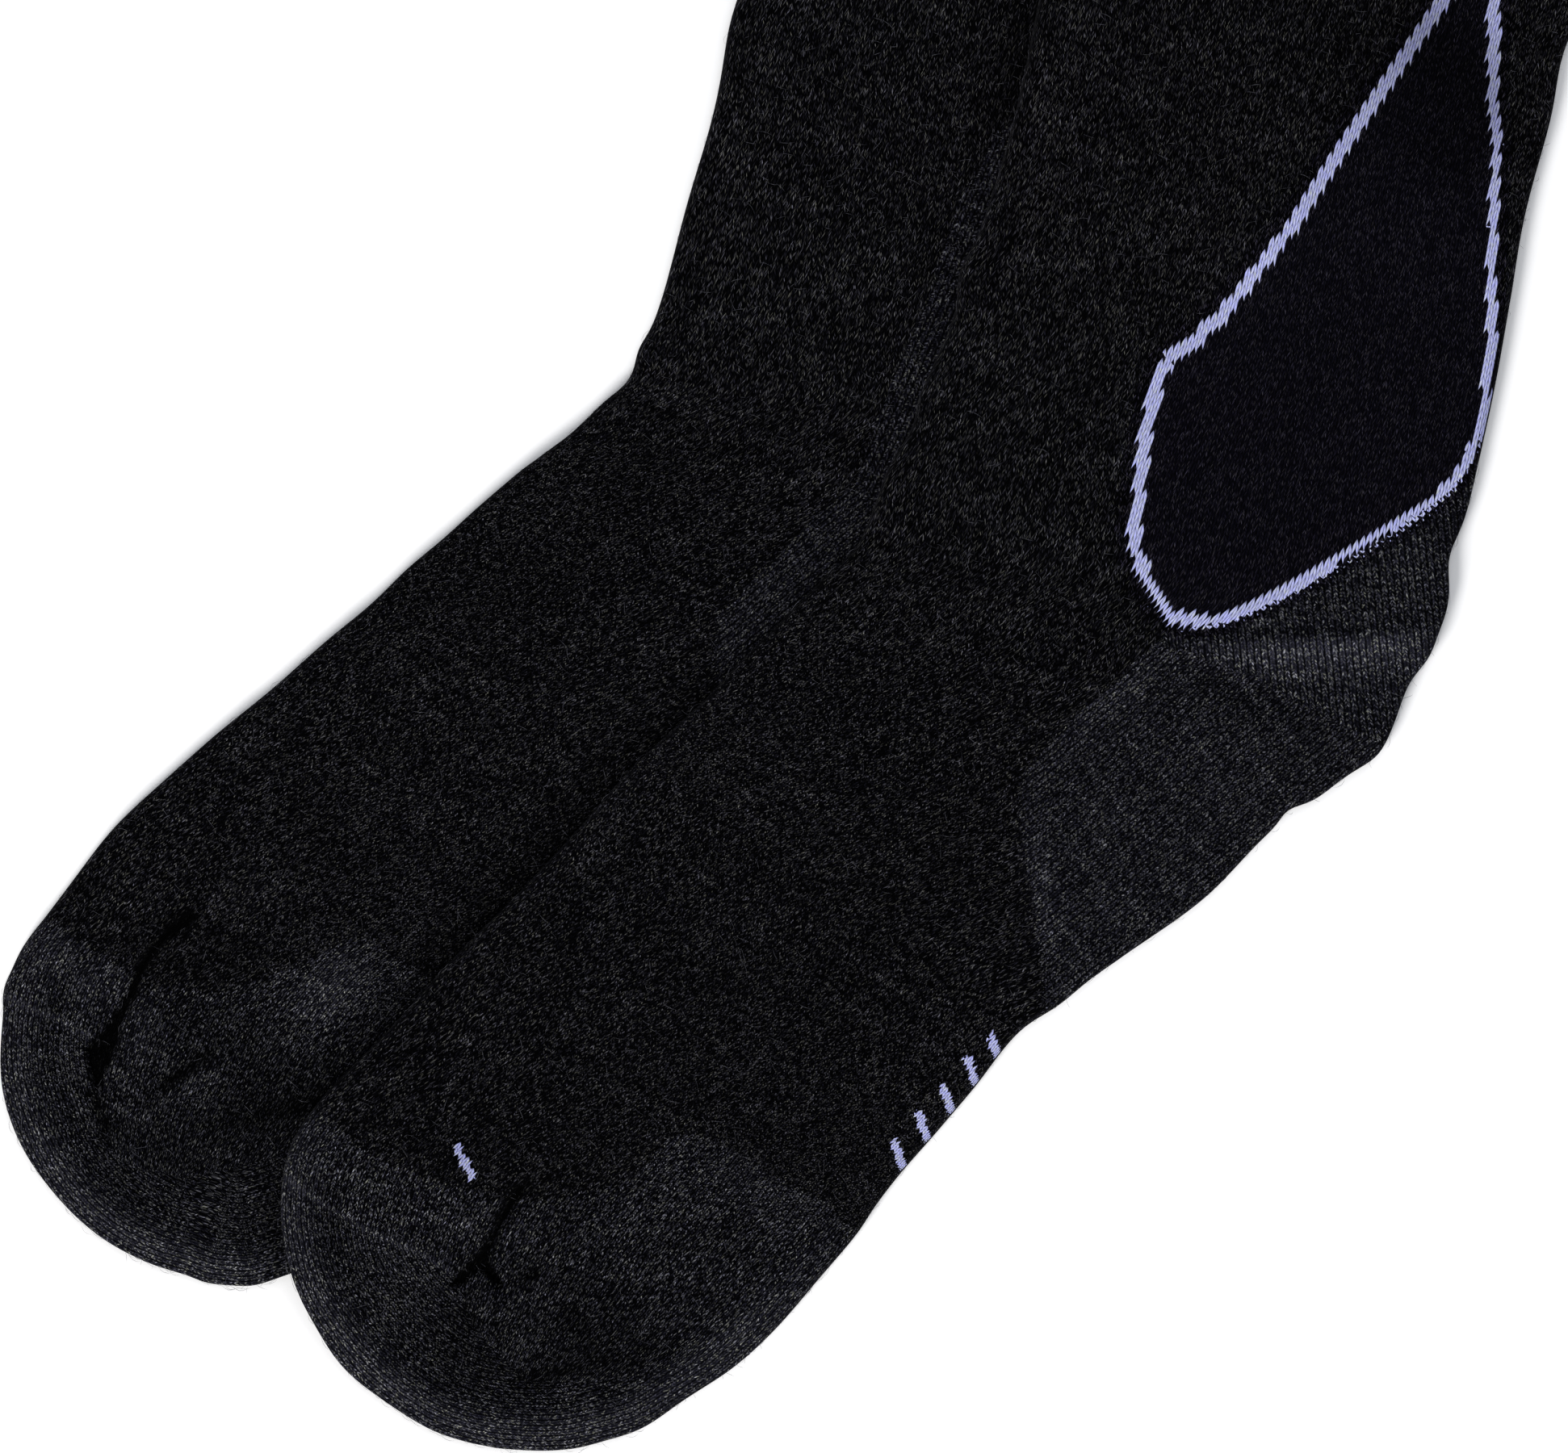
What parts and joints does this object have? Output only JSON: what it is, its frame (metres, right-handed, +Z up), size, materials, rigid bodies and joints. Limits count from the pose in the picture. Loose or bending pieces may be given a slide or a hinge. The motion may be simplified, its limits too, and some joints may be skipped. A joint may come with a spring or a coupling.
{
  "type": "pair of ski socks",
  "caption": "Pair of knee-high padded ski socks in dark melange knit, laid flat on their sides, one lying partly over the other.",
  "frame": {"origin": "on the surface that the pair lies on, under the middle of its box", "axes": "+Z up from the surface, +Y up the legs to the knee cuffs, +X from the toes towards the heels"},
  "size_m": [0.3902, 0.58, 0.0114],
  "materials": {
    "knit_main": "charcoal melange knit",
    "knit_reinforced": "blue-grey melange padded knit",
    "knit_rib": "charcoal melange rib knit",
    "knit_panel": "fine near-black knit",
    "knit_outline": "lilac knit"
  },
  "bodies": {
    "root": {"under_cuff": "knit_rib", "under_leg": "knit_main", "under_heel": "knit_reinforced", "under_foot": "knit_main", "under_toe": "knit_reinforced", "upper_cuff": "knit_rib", "upper_leg": "knit_main", "upper_heel": "knit_reinforced", "upper_foot": "knit_main", "upper_toe": "knit_reinforced"}
  },
  "joints": []
}
